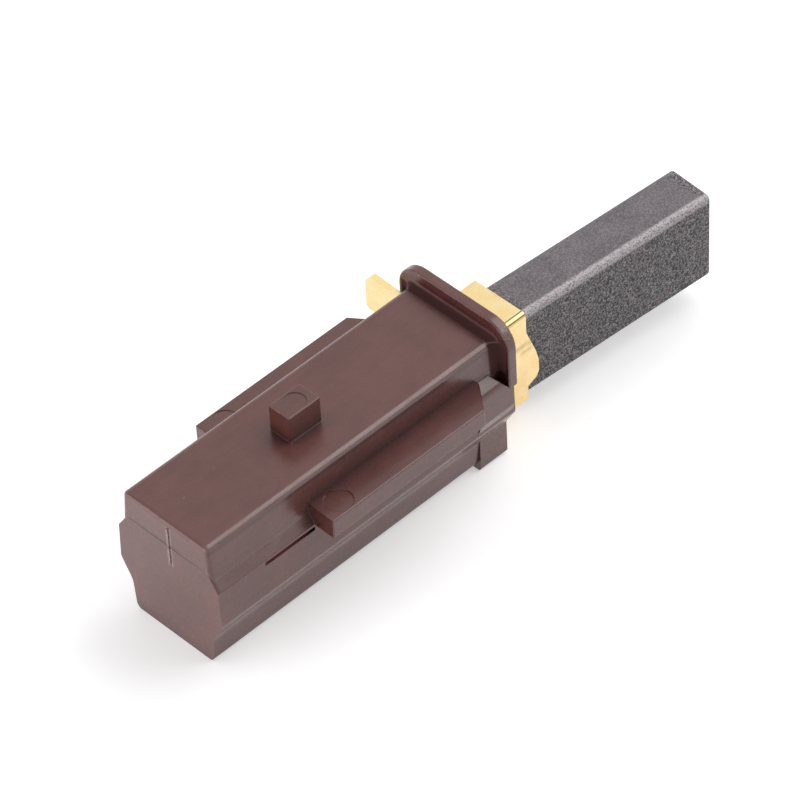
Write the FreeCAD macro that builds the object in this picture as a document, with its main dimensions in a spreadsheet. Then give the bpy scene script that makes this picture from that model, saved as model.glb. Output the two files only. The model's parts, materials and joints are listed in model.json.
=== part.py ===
import FreeCAD, Part
import math
import os
import re
import Sketcher

# A carbon brush in its moulded holder, millimetres and degrees.
# X runs along the holder from its rear face towards the carbon's tip, Y across it, Z up.
# Every sub-part is drawn with the holder level, its rear face at X 0 and its base at Z 0.
# At the end all of them are tipped together onto the holder's foot and rear edge.

SHEET = "sizes"

SIZES = {
    # Allowances: clearance of fits, how deep added forms root in the body, how far cuts run out
    "fit_gap": 0.03,
    "root_depth": 1.0,
    "run_out": 1.0,
    # Holder body, half widths and heights of its stepped section
    "body_length": 39.95,
    "roof_half": 5.82,
    "roof_height": 15.8,
    "ledge_half": 6.2,
    "ledge_height": 11.53,
    "waist_half": 6.93,
    "waist_height": 10.43,
    "belly_half": 7.11,
    "belly_height": 5.97,
    "keel_half": 5.68,
    "keel_height": 3.57,
    "base_half": 5.4,
    "roof_radius": 0.6,
    "rear_radius": 0.4,
    "belly_radius": 1.0,
    "keel_radius": 2.5,
    "base_radius": 0.7,
    # Flange round the holder's mouth
    "flange_thickness": 1.15,
    "flange_half": 7.6,
    "flange_top": 17.85,
    "flange_base": 10.2,
    "flange_radius": 2.9,
    "flange_root_radius": 0.9,
    "flange_rim_radius": 0.2,
    # Side rails that run in the motor frame's grooves, set back from the mouth
    "rail_start": 12.8,
    "rail_setback": 6.55,
    "rail_half": 9.59,
    "rail_base": 10.34,
    "rail_top": 12.6,
    "rail_radius": 0.15,
    "nose_setback": 4.35,
    "nose_half": 6.66,
    # Gusset between each rail, the side wall and the flange
    "gusset_setback": 5.1,
    "gusset_front": 0.4,
    "gusset_half": 7.45,
    "gusset_top": 12.2,
    "gusset_crest": 11.3,
    "gusset_low": 7.6,
    "gusset_radius": 0.9,
    "notch_length": 1.5,
    "notch_base": 10.35,
    # Latch nub on the roof
    "nub_start": 15.35,
    "nub_length": 4.1,
    "nub_half": 1.4,
    "nub_height": 3.2,
    "nub_radius": 0.1,
    # Foot under the mouth
    "foot_length": 3.75,
    "foot_half": 5.75,
    "foot_depth": 0.7,
    "foot_radius": 0.5,
    # Narrow slot under the ledge, from near the rear to each rail
    "slot_start": 6.2,
    "slot_base": 9.72,
    "slot_top": 10.17,
    "slot_depth": 0.55,
    # Marks of the mould: sunk rings of its pins on nub and rails, gate ridge on the rear face
    "nub_mark_radius": 1.25,
    "rail_mark_radius": 1.5,
    "rail_mark_start": 15.2,
    "rail_mark_side": 7.9,
    "mark_depth": 0.08,
    "gate_side": 0.3,
    "gate_width": 0.25,
    "gate_base": 10.0,
    "gate_top": 14.9,
    "gate_height": 0.1,
    # Spring chamber inside the holder
    "rear_wall": 1.6,
    "chamber_setback": 7.05,
    "chamber_half": 4.65,
    "chamber_top": 13.5,
    # Brass sleeve, one folded sheet
    "sheet": 0.3,
    "sleeve_inset": 6.65,
    "sleeve_reach": 5.25,
    "sleeve_half": 3.65,
    "sleeve_base": 1.2,
    "sleeve_top": 13.35,
    "fold_radius": 0.5,
    "ear_reach": 1.42,
    "ear_top": 10.7,
    "ear_shoulder": 7.7,
    "ear_crest_top": 6.2,
    "ear_crest_base": 4.7,
    "ear_heel": 4.0,
    "ear_base": 3.3,
    "ear_flare": 8.0,
    "strip_half": 2.4,
    "seat_half": 3.0,
    "seat_top": 12.0,
    "seat_radius": 0.8,
    # Terminal, one stamped piece: blade outside, neck through the wall, tail on the sleeve
    "blade_thickness": 0.8,
    "blade_setback": 2.7,
    "blade_reach": 10.8,
    "blade_base": 10.42,
    "blade_top": 14.95,
    "blade_chamfer": 0.7,
    "neck_base": 10.8,
    "neck_top": 12.9,
    "tail_length": 2.75,
    # Carbon block, which leans in the sleeve by its running gap
    "carbon_width": 5.77,
    "carbon_height": 10.93,
    "carbon_length": 37.4,
    "carbon_radius": 0.6,
    "carbon_tip_radius": 0.3,
    "lean_reach": 2.65,
    "lean_side": -0.19,
    "lean_height": 7.31,
    "lean_yaw": 3.4,
    "lean_droop": 0.7,
    "carbon_inset": 9.1,
    "socket_radius": 1.35,
    "socket_depth": 4.0,
    # Spring between the sleeve's rear plate and the carbon
    "spring_radius": 2.3,
    "spring_wire": 0.35,
    "spring_turns": 10.0,
    "spring_side": 0.36,
    "spring_height": 7.4,
    "spring_gap": 0.2,
    # Braided lead inside the spring, drawn as its outer surface
    "lead_radius": 0.65,
    "weld_radius": 1.2,
    "weld_length": 0.8,
}

# Places that several pieces share, measured from the holder's rear face
FLANGE_REAR = "(body_length - flange_thickness)"
CHAMBER_END = "(body_length - chamber_setback)"
SLEEVE_START = "(body_length - sleeve_inset)"
SLEEVE_END = "(body_length + sleeve_reach)"
BLADE_START = "(body_length - blade_setback)"
SEAT_START = "(rear_wall + fit_gap)"
SPRING_START = "(rear_wall + fit_gap + sheet + spring_gap)"
CARBON_REAR = "(body_length + lean_reach - carbon_inset)"

# The wire of the spring is drawn with flat sides, in short straight runs
WIRE_SIDES = 8
RUNS_PER_TURN = 16

# Waves of the lead: share of the way to the socket, then offsets to the side and upwards
LEAD_WAVES = [
    (0.18, 0.0, 0.05),
    (0.36, 0.2, 0.45),
    (0.54, -0.15, -0.35),
    (0.72, 0.1, 0.4),
    (0.88, 0.0, -0.1),
]

# How close an edge's middle must be to the place where it is looked for
NEAR = 0.02


def formula(text):
    """The text with the sheet's name put before each size in it."""
    def named(word):
        return f"{SHEET}.{word.group()}" if word.group() in SIZES else word.group()
    return re.sub(r"[a-z_]+", named, text)


def make_sheet(doc):
    sheet = doc.addObject("Spreadsheet::Sheet", SHEET)
    for row, (alias, number) in enumerate(SIZES.items(), start=1):
        sheet.set(f"A{row}", alias)
        sheet.set(f"B{row}", str(number))
        sheet.setAlias(f"B{row}", alias)
    doc.recompute()
    return sheet


def value(thing, text):
    """The number that a formula of sizes stands for."""
    result = thing.evalExpression(formula(text))
    return float(getattr(result, "Value", result))


def new_body(doc, name):
    body = doc.addObject("PartDesign::Body", name)
    body.Label = name
    return body


def datum(body, role):
    for feature in body.Origin.OriginFeatures:
        if feature.Role == role:
            return feature
    raise ValueError(role)


def new_sketch(body, name, plane, lift="0"):
    """Empty sketch on one of the body's own planes, raised along the plane's normal."""
    sketch = body.newObject("Sketcher::SketchObject", name)
    sketch.AttachmentSupport = [(datum(body, plane), "")]
    sketch.MapMode = "FlatFace"
    sketch.setExpression("AttachmentOffset.Base.z", formula(lift))
    return sketch


def place_point(sketch, edge, end, across, up):
    """Ties one end of an edge to its two formulas, measured from the sketch's origin."""
    for kind, axis, text in (("DistanceX", -2, across), ("DistanceY", -1, up)):
        if text == "0":
            sketch.addConstraint(Sketcher.Constraint("PointOnObject", edge, end, axis))
            continue
        number = value(sketch, text)
        index = sketch.addConstraint(Sketcher.Constraint(kind, -1, 1, edge, end, number))
        label = f"{kind[-1].lower()}{edge}p{end}"
        sketch.renameConstraint(index, label)
        sketch.setExpression(f"Constraints.{label}", formula(text))


def add_loop(sketch, corners):
    """Closed outline of straight edges through the corners, each a pair of formulas."""
    spots = [FreeCAD.Vector(value(sketch, across), value(sketch, up), 0) for across, up in corners]
    first = sketch.GeometryCount
    count = len(spots)
    for i in range(count):
        sketch.addGeometry(Part.LineSegment(spots[i], spots[(i + 1) % count]), False)
    for i in range(count):
        following = first + (i + 1) % count
        sketch.addConstraint(Sketcher.Constraint("Coincident", first + i, 2, following, 1))
    for i, (across, up) in enumerate(corners):
        place_point(sketch, first + i, 1, across, up)


def add_circle(sketch, across, up, radius):
    spot = FreeCAD.Vector(value(sketch, across), value(sketch, up), 0)
    index = sketch.addGeometry(Part.Circle(spot, FreeCAD.Vector(0, 0, 1), value(sketch, radius)), False)
    place_point(sketch, index, 3, across, up)
    limit = sketch.addConstraint(Sketcher.Constraint("Radius", index, value(sketch, radius)))
    sketch.renameConstraint(limit, f"r{index}")
    sketch.setExpression(f"Constraints.r{index}", formula(radius))


def box_corners(left, right, low, high):
    return [(left, low), (right, low), (right, high), (left, high)]


def mirrored_corners(side):
    """A half outline on the positive side and its mirror image, as one closed outline."""
    return side + [(f"-({across})", up) for across, up in reversed(side)]


def pad(body, name, sketch, length):
    feature = body.newObject("PartDesign::Pad", name)
    feature.Profile = sketch
    feature.setExpression("Length", formula(length))
    return feature


def pocket(body, name, sketch, length, reverse=False):
    """A cut against the sketch's normal, which must take material away."""
    body.Document.recompute()
    before = body.Shape.Volume
    feature = body.newObject("PartDesign::Pocket", name)
    feature.Profile = sketch
    feature.setExpression("Length", formula(length))
    feature.Reversed = reverse
    body.Document.recompute()
    if body.Shape.Volume >= before:
        raise ValueError(f"{name} cuts nothing")
    return feature


def mirror(body, name, features):
    """The features once more on the other side of the body's middle plane."""
    feature = body.newObject("PartDesign::Mirrored", name)
    feature.Originals = features
    feature.MirrorPlane = (datum(body, "XZ_Plane"), [""])
    body.Tip = feature


def revolve(body, name, sketch):
    feature = body.newObject("PartDesign::Revolution", name)
    feature.Profile = sketch
    feature.ReferenceAxis = (sketch, ["V_Axis"])
    feature.Angle = 360


def round_edges(body, name, radius, wanted):
    """Fillet on every edge of the body whose middle passes the test."""
    body.Document.recompute()
    base = body.Tip
    edges = []
    for number, edge in enumerate(base.Shape.Edges, start=1):
        middle = edge.valueAt((edge.FirstParameter + edge.LastParameter) / 2)
        if wanted(middle):
            edges.append(f"Edge{number}")
    if not edges:
        raise ValueError(f"{name} finds no edge")
    feature = body.newObject("PartDesign::Fillet", name)
    feature.Base = (base, edges)
    feature.setExpression("Radius", formula(radius))


def near(first, second):
    return abs(first - second) < NEAR


def make_holder(doc, sheet):
    """Moulded holder: stepped body, flange, rails, gussets, nub, foot and the chamber inside."""
    body = new_body(doc, "holder")
    section = new_sketch(body, "holder_section", "YZ_Plane")
    add_loop(section, mirrored_corners([
        ("base_half", "0"),
        ("keel_half", "keel_height"),
        ("belly_half", "belly_height"),
        ("waist_half", "waist_height"),
        ("ledge_half", "ledge_height"),
        ("roof_half", "roof_height"),
    ]))
    pad(body, "holder_body", section, "body_length")
    for ridge in ("roof", "belly", "keel", "base"):
        across = value(sheet, f"{ridge}_half")
        up = 0 if ridge == "base" else value(sheet, f"{ridge}_height")
        round_edges(body, f"{ridge}_edges", f"{ridge}_radius",
                    lambda middle: near(abs(middle.y), across) and near(middle.z, up))
    shoulder = value(sheet, "roof_height - roof_radius")
    round_edges(body, "rear_edge", "rear_radius",
                lambda middle: near(middle.x, 0) and middle.z > shoulder)
    add_flange(body, sheet)
    add_rails(body, sheet)
    add_gussets(body, sheet)
    add_nub(body, sheet)
    add_foot(body, sheet)
    cut_slots(body)
    mark_mould(body, sheet)
    cut_chamber(body)
    cut_terminal_slots(body)
    return body


def add_flange(body, sheet):
    plate = new_sketch(body, "flange_plate", "YZ_Plane", FLANGE_REAR)
    add_loop(plate, box_corners("-flange_half", "flange_half", "flange_base", "flange_top"))
    pad(body, "flange", plate, "flange_thickness")
    top = value(sheet, "flange_top")
    half = value(sheet, "flange_half")
    rear = value(sheet, FLANGE_REAR)
    front = value(sheet, "body_length")
    roof = value(sheet, "roof_height")
    ledge = value(sheet, "ledge_height")
    round_edges(body, "flange_corners", "flange_radius",
                lambda middle: near(abs(middle.y), half) and near(middle.z, top))
    round_edges(body, "flange_root", "flange_root_radius",
                lambda middle: near(middle.x, rear) and near(middle.z, roof))
    round_edges(body, "flange_rim", "flange_rim_radius",
                lambda middle: (near(middle.x, rear) or near(middle.x, front))
                and middle.z > ledge and max(abs(middle.y) / half, middle.z / top) > 0.95)


def add_rails(body, sheet):
    plan = new_sketch(body, "rail_plan", "XY_Plane", "rail_base")
    add_loop(plan, [
        ("rail_start", "root_depth - roof_half"),
        ("rail_start", "-rail_half"),
        ("body_length - rail_setback", "-rail_half"),
        ("body_length - nose_setback", "-nose_half"),
        ("body_length - nose_setback", "root_depth - roof_half"),
    ])
    rail = pad(body, "rail", plan, "rail_top - rail_base")
    mirror(body, "both_rails", [rail])
    outer = value(sheet, "rail_half")
    waist = value(sheet, "waist_half")
    top = value(sheet, "rail_top")
    round_edges(body, "rail_edges", "rail_radius",
                lambda middle: near(abs(middle.y), outer)
                or (near(middle.z, top) and waist < abs(middle.y) < outer))


def add_gussets(body, sheet):
    """Thickening of the side wall between each rail and the flange."""
    section = new_sketch(body, "gusset_section", "YZ_Plane", "body_length - gusset_setback")
    add_loop(section, [
        ("root_depth - roof_half", "gusset_top"),
        ("-ledge_half", "gusset_top"),
        ("-gusset_half", "gusset_crest"),
        ("-gusset_half", "gusset_low"),
        ("-waist_half", "belly_height"),
        ("root_depth - roof_half", "belly_height"),
    ])
    gusset = pad(body, "gusset", section, "gusset_setback - gusset_front")
    mirror(body, "both_gussets", [gusset])
    half = value(sheet, "gusset_half")
    crest = value(sheet, "gusset_crest")
    low = value(sheet, "gusset_low")
    round_edges(body, "gusset_edges", "gusset_radius",
                lambda middle: near(abs(middle.y), half) and (near(middle.z, crest) or near(middle.z, low)))
    fall = new_sketch(body, "notch_profile", "XZ_Plane", "ledge_half")
    add_loop(fall, [
        (f"{FLANGE_REAR} - notch_length", "gusset_top"),
        (FLANGE_REAR, "notch_base"),
        (FLANGE_REAR, "gusset_top + run_out"),
        (f"{FLANGE_REAR} - notch_length", "gusset_top + run_out"),
    ])
    notch = pocket(body, "notch", fall, "gusset_half - ledge_half + run_out", reverse=True)
    mirror(body, "both_notches", [notch])


def add_nub(body, sheet):
    plan = new_sketch(body, "nub_plan", "XY_Plane", "roof_height - root_depth")
    add_loop(plan, box_corners("nub_start", "nub_start + nub_length", "-nub_half", "nub_half"))
    pad(body, "nub", plan, "nub_height + root_depth")
    top = value(sheet, "roof_height + nub_height")
    round_edges(body, "nub_edges", "nub_radius", lambda middle: near(middle.z, top))


def add_foot(body, sheet):
    """Foot under the mouth, with upright sides that die into the slanted lower walls."""
    plan = new_sketch(body, "foot_plan", "XY_Plane", "-foot_depth")
    add_loop(plan, box_corners("body_length - foot_length", "body_length", "-foot_half", "foot_half"))
    pad(body, "foot", plan, "foot_depth + (keel_height + belly_height) / 2")
    low = -value(sheet, "foot_depth")
    half = value(sheet, "foot_half")
    round_edges(body, "foot_edges", "foot_radius",
                lambda middle: near(middle.z, low) and near(abs(middle.y), half))


def cut_slots(body):
    sketch = new_sketch(body, "slot_section", "YZ_Plane", "slot_start")
    add_loop(sketch, box_corners("-waist_half - run_out", "slot_depth - waist_half",
                                 "slot_base", "slot_top"))
    slot = pocket(body, "slot", sketch, "rail_start - slot_start", reverse=True)
    mirror(body, "both_slots", [slot])


def mark_mould(body, sheet):
    """Sunk rings that the mould's pins leave, and the ridge where it was filled."""
    nub = new_sketch(body, "nub_mark_ring", "XY_Plane", "roof_height + nub_height")
    add_circle(nub, "nub_start + nub_length / 2", "0", "nub_mark_radius")
    pocket(body, "nub_mark", nub, "mark_depth")
    ring = new_sketch(body, "rail_mark_ring", "XY_Plane", "rail_top")
    add_circle(ring, "rail_mark_start", "-rail_mark_side", "rail_mark_radius")
    mark = pocket(body, "rail_mark", ring, "mark_depth")
    mirror(body, "both_rail_marks", [mark])
    gate = new_sketch(body, "gate_section", "YZ_Plane", "-gate_height")
    add_loop(gate, box_corners("-gate_side - gate_width / 2", "gate_width / 2 - gate_side",
                               "gate_base", "gate_top"))
    pad(body, "gate", gate, "gate_height + rear_wall / 2")


def cut_chamber(body):
    """Bore for the sleeve at the mouth and the wider chamber for spring and carbon behind it."""
    bore = new_sketch(body, "bore_section", "YZ_Plane", "body_length")
    add_loop(bore, box_corners("-sleeve_half - fit_gap", "sleeve_half + fit_gap",
                               "sleeve_base - fit_gap", "sleeve_top + fit_gap"))
    pocket(body, "bore", bore, "chamber_setback + run_out")
    chamber = new_sketch(body, "chamber_section", "YZ_Plane", CHAMBER_END)
    add_loop(chamber, box_corners("-chamber_half", "chamber_half",
                                  "sleeve_base - fit_gap", "chamber_top"))
    pocket(body, "chamber", chamber, f"{CHAMBER_END} - rear_wall")


def cut_terminal_slots(body):
    """Room for the terminal's tail along the sleeve, its neck in the wall and its blade outside."""
    front = f"{BLADE_START} + blade_thickness + fit_gap"
    inner = "sleeve_half - sheet"
    slots = [
        ("tail", f"{BLADE_START} - tail_length - fit_gap", inner,
         "sleeve_half + blade_thickness + fit_gap", "neck_base", "neck_top"),
        ("neck", f"{BLADE_START} - fit_gap", inner, "rail_half", "neck_base", "neck_top"),
        ("blade", f"{BLADE_START} - fit_gap", "ledge_half", "rail_half + run_out", "blade_base",
         "blade_top"),
    ]
    for name, rear, near_side, far_side, low, high in slots:
        plan = new_sketch(body, f"{name}_slot_plan", "XY_Plane", f"{high} + fit_gap")
        add_loop(plan, box_corners(rear, front, near_side, far_side))
        pocket(body, f"{name}_slot", plan, f"{high} - {low} + 2 * fit_gap")


def make_sleeve(doc, sheet):
    """Folded brass sleeve: a square tube with two ears, a floor strip and a rear plate."""
    body = new_body(doc, "sleeve")
    section = new_sketch(body, "tube_section", "YZ_Plane", SLEEVE_START)
    add_loop(section, box_corners("-sleeve_half", "sleeve_half", "sleeve_base", "sleeve_top"))
    pad(body, "tube", section, f"{SLEEVE_END} - {SLEEVE_START}")
    half = value(sheet, "sleeve_half")
    rear = value(sheet, SLEEVE_START)
    front = value(sheet, SLEEVE_END)
    round_edges(body, "tube_folds", "fold_radius",
                lambda middle: near(abs(middle.y), half) and rear + NEAR < middle.x < front - NEAR)
    strip = new_sketch(body, "strip_plan", "XY_Plane", "sleeve_base")
    add_loop(strip, box_corners(SEAT_START, f"{SLEEVE_START} + root_depth", "-strip_half", "strip_half"))
    pad(body, "strip", strip, "sheet")
    seat = new_sketch(body, "seat_section", "YZ_Plane", SEAT_START)
    add_loop(seat, box_corners("-seat_half", "seat_half", "sleeve_base", "seat_top"))
    add_circle(seat, "spring_side", "spring_height", "lead_radius + fit_gap")
    pad(body, "seat", seat, "sheet")
    seat_half = value(sheet, "seat_half")
    seat_top = value(sheet, "seat_top")
    round_edges(body, "seat_corners", "seat_radius",
                lambda middle: near(abs(middle.y), seat_half) and near(middle.z, seat_top))
    hollow = new_sketch(body, "tube_hollow", "YZ_Plane", f"{SLEEVE_END} + run_out")
    add_loop(hollow, box_corners("sheet - sleeve_half", "sleeve_half - sheet",
                                 "sleeve_base + sheet", "sleeve_top - sheet"))
    pocket(body, "hollow", hollow, f"{SLEEVE_END} + run_out - {SLEEVE_START}")
    ear = add_ear(body, sheet)
    mirror(body, "both_ears", [ear])
    return body


def add_ear(body, sheet):
    """Ear on the near side wall, bent outwards from the tube's front edge."""
    sketch = body.newObject("Sketcher::SketchObject", "ear_outline")
    sketch.AttachmentSupport = [(datum(body, "XZ_Plane"), "")]
    sketch.MapMode = "FlatFace"
    flare = FreeCAD.Rotation(FreeCAD.Vector(0, -1, 0), value(sheet, "ear_flare"))
    sketch.AttachmentOffset = FreeCAD.Placement(FreeCAD.Vector(), flare)
    sketch.setExpression("AttachmentOffset.Base.x", formula(SLEEVE_END))
    sketch.setExpression("AttachmentOffset.Base.z", formula("sleeve_half"))
    sketch.setExpression("AttachmentOffset.Rotation.Angle", formula("ear_flare"))
    add_loop(sketch, [
        ("-sheet / 2", "ear_top"),
        ("0", "ear_top"),
        ("ear_reach * 3 / 4", "ear_shoulder"),
        ("ear_reach", "ear_crest_top"),
        ("ear_reach", "ear_crest_base"),
        ("ear_reach * 3 / 4", "ear_heel"),
        ("0", "ear_base"),
        ("-sheet / 2", "ear_base"),
    ])
    ear = pad(body, "ear", sketch, "sheet")
    ear.Reversed = True
    return ear


def make_terminal(doc):
    body = new_body(doc, "terminal")
    face = new_sketch(body, "blade_face", "YZ_Plane", BLADE_START)
    add_loop(face, [
        ("sleeve_half + fit_gap", "neck_base"),
        ("ledge_half + fit_gap", "neck_base"),
        ("ledge_half + fit_gap", "blade_base"),
        ("blade_reach - blade_chamfer / 2", "blade_base"),
        ("blade_reach", "blade_base + blade_chamfer / 2"),
        ("blade_reach", "blade_top - blade_chamfer"),
        ("blade_reach - blade_chamfer", "blade_top"),
        ("ledge_half + fit_gap", "blade_top - blade_chamfer / 3"),
        ("ledge_half + fit_gap", "neck_top"),
        ("sleeve_half + fit_gap", "neck_top"),
    ])
    pad(body, "blade", face, "blade_thickness")
    tail = new_sketch(body, "tail_plan", "XY_Plane", "neck_base")
    add_loop(tail, box_corners(f"{BLADE_START} - tail_length", f"{BLADE_START} + blade_thickness",
                               "sleeve_half + fit_gap", "sleeve_half + blade_thickness"))
    pad(body, "tail", tail, "neck_top - neck_base")
    return body


def make_carbon(doc, sheet):
    """Pressed carbon block, drawn along its own axis from its rear face, with the lead's socket."""
    body = new_body(doc, "carbon")
    section = new_sketch(body, "carbon_section", "YZ_Plane")
    add_loop(section, box_corners("-carbon_width / 2", "carbon_width / 2",
                                  "-carbon_height / 2", "carbon_height / 2"))
    pad(body, "block", section, "carbon_length")
    tip = value(sheet, "carbon_length")
    half = value(sheet, "carbon_width / 2")
    round_edges(body, "long_edges", "carbon_radius",
                lambda middle: near(abs(middle.y), half) and NEAR < middle.x < tip - NEAR)
    round_edges(body, "tip_edges", "carbon_tip_radius", lambda middle: near(middle.x, tip))
    mouth = new_sketch(body, "socket_mouth", "YZ_Plane")
    add_circle(mouth, "0", "0", "socket_radius")
    pocket(body, "socket", mouth, "socket_depth", reverse=True)
    return body


def make_plug(doc):
    """Tamped plug round the lead in the carbon's socket, in the carbon's own axes."""
    body = new_body(doc, "lead_plug")
    ring = new_sketch(body, "plug_section", "YZ_Plane")
    add_circle(ring, "0", "0", "socket_radius")
    add_circle(ring, "0", "0", "lead_radius + fit_gap")
    pad(body, "plug", ring, "socket_depth")
    return body


def make_spring(doc, sheet):
    """Compression spring with closed end turns, wound round Z from its rear end."""
    wire = value(sheet, "spring_wire")
    turns = value(sheet, "spring_turns")
    rise = value(sheet, f"{CARBON_REAR} - spring_gap - {SPRING_START} - 2 * spring_wire")
    end_rise = value(sheet, "2 * spring_wire + fit_gap")
    pitch = (rise - 2 * end_rise) / (turns - 2)
    centre = FreeCAD.Vector(value(sheet, "spring_radius"), 0, wire)
    corners = []
    for side in range(WIRE_SIDES + 1):
        angle = 2 * math.pi * (side + 0.5) / WIRE_SIDES
        corners.append(centre + FreeCAD.Vector(math.cos(angle), 0, math.sin(angle)) * wire)
    outline = Part.makePolygon(corners)
    sections = []
    for run in range(round(turns * RUNS_PER_TURN) + 1):
        turn = run / RUNS_PER_TURN
        lift = min(turn, 1) * end_rise
        lift += min(max(turn - 1, 0), turns - 2) * pitch
        lift += max(turn - turns + 1, 0) * end_rise
        section = outline.copy()
        section.rotate(FreeCAD.Vector(), FreeCAD.Vector(0, 0, 1), 360 * turn)
        section.translate(FreeCAD.Vector(0, 0, lift))
        sections.append(section)
    spring = doc.addObject("Part::Feature", "spring")
    spring.Label = "spring"
    spring.Shape = Part.makeLoft(sections, True, True)
    return spring, along_x(sheet, SPRING_START)


def along_x(sheet, start):
    """Place of a piece that is drawn along Z and lies on the spring's axis."""
    spot = FreeCAD.Vector(value(sheet, start), value(sheet, "spring_side"),
                          value(sheet, "spring_height"))
    return FreeCAD.Placement(spot, FreeCAD.Rotation(FreeCAD.Vector(0, 1, 0), 90))


def make_weld(doc, sheet):
    """Solder cone that holds the lead on the rear plate, drawn along Z."""
    body = new_body(doc, "lead_weld")
    half = new_sketch(body, "weld_half", "XZ_Plane")
    add_loop(half, [
        ("lead_radius + fit_gap", "0"),
        ("weld_radius", "0"),
        ("(lead_radius + weld_radius) / 2", "weld_length"),
        ("lead_radius + fit_gap", "weld_length"),
    ])
    revolve(body, "weld", half)
    return body, along_x(sheet, f"{SEAT_START} + sheet")


def smooth_wire(points):
    """Straight runs through the points, joined by the largest tangent arcs that fit."""
    edges = []
    begin = points[0]
    for before, corner, after in zip(points, points[1:], points[2:]):
        back = before - corner
        ahead = after - corner
        reach = 0.45 * min(back.Length, ahead.Length)
        back.normalize()
        ahead.normalize()
        enter = corner + back * reach
        leave = corner + ahead * reach
        half_turn = (math.pi - back.getAngle(ahead)) / 2
        radius = reach / math.tan(half_turn)
        inward = (back + ahead).normalize()
        middle = corner + inward * (radius / math.cos(half_turn) - radius)
        edges.append(Part.LineSegment(begin, enter).toShape())
        edges.append(Part.Arc(enter, middle, leave).toShape())
        begin = leave
        print("lead bend radius", round(radius, 1))
    edges.append(Part.LineSegment(begin, points[-1]).toShape())
    return Part.Wire(edges)


def make_lead(doc, sheet, carbon_place):
    """Braided lead as one tube, from the rear plate through the spring into the socket."""
    rear = FreeCAD.Vector(value(sheet, SEAT_START), value(sheet, "spring_side"),
                          value(sheet, "spring_height"))
    mouth = carbon_place.multVec(FreeCAD.Vector(-1, 0, 0))
    bottom = carbon_place.multVec(FreeCAD.Vector(value(sheet, "socket_depth"), 0, 0))
    points = [rear]
    for share, sway, lift in LEAD_WAVES:
        spot = rear + (mouth - rear) * share
        points.append(spot + FreeCAD.Vector(0, sway, lift))
    points += [mouth, bottom]
    spine = smooth_wire(points)
    radius = value(sheet, "lead_radius")
    circle = Part.Wire(Part.makeCircle(radius, rear, points[1] - rear))
    tube = spine.makePipe(Part.Face(circle))
    expected = spine.Length * math.pi * radius ** 2
    if abs(tube.Volume / expected - 1) > NEAR:
        raise ValueError("lead tube is not whole")
    lead = doc.addObject("Part::Feature", "lead")
    lead.Label = "lead"
    lead.Shape = tube
    return lead


def carbon_placement(sheet):
    """Place and lean of the carbon's own axes in the holder's."""
    yaw = FreeCAD.Rotation(FreeCAD.Vector(0, 0, 1), -value(sheet, "lean_yaw"))
    droop = FreeCAD.Rotation(FreeCAD.Vector(0, 1, 0), value(sheet, "lean_droop"))
    turn = yaw.multiply(droop)
    pivot = FreeCAD.Vector(value(sheet, "body_length + lean_reach"), value(sheet, "lean_side"),
                           value(sheet, "lean_height"))
    rear = pivot - turn.multVec(FreeCAD.Vector(value(sheet, "carbon_inset"), 0, 0))
    return FreeCAD.Placement(rear, turn)


def finish(doc, sheet, placed):
    """Tips every sub-part onto the rear edge and the foot, centres them and writes the files."""
    doc.recompute()
    run = value(sheet, "body_length - foot_length")
    tilt = math.degrees(math.atan2(value(sheet, "foot_depth"), run))
    tip = FreeCAD.Placement(FreeCAD.Vector(), FreeCAD.Rotation(FreeCAD.Vector(0, 1, 0), -tilt))
    box = FreeCAD.BoundBox()
    for part, own in placed:
        part.Placement = tip.multiply(own)
        box.add(part.Shape.optimalBoundingBox(False))
    centre = FreeCAD.Vector(-box.Center.x, -box.Center.y, -box.ZMin)
    for part, own in placed:
        part.Placement = FreeCAD.Placement(centre, FreeCAD.Rotation()).multiply(part.Placement)
    doc.recompute()
    for thing in doc.Objects:
        if "Invalid" in thing.State or "Error" in thing.State:
            raise ValueError(f"{thing.Name}: {thing.State}")
    for part, own in placed:
        if part.Shape.isNull() or not part.Shape.isValid():
            raise ValueError(f"{part.Label} has no valid shape")
    os.makedirs("parts", exist_ok=True)
    for part, own in placed:
        part.Shape.exportStep(f"parts/{part.Label}.step")
        print(part.Label, round(part.Shape.Volume, 2), len(part.Shape.Solids))
    print("origin offset", tuple(round(number, 4) for number in centre), "tilt", round(tilt, 4))


def main():
    doc = FreeCAD.newDocument("carbon_brush")
    sheet = make_sheet(doc)
    level = FreeCAD.Placement()
    lean = carbon_placement(sheet)
    placed = [
        (make_holder(doc, sheet), level),
        (make_sleeve(doc, sheet), level),
        (make_terminal(doc), level),
        (make_carbon(doc, sheet), lean),
        (make_plug(doc), lean),
        make_spring(doc, sheet),
        make_weld(doc, sheet),
        (make_lead(doc, sheet, lean), level),
    ]
    finish(doc, sheet, placed)


main()
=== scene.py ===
import json
import math

import bpy
from mathutils import Matrix, Vector


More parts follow.
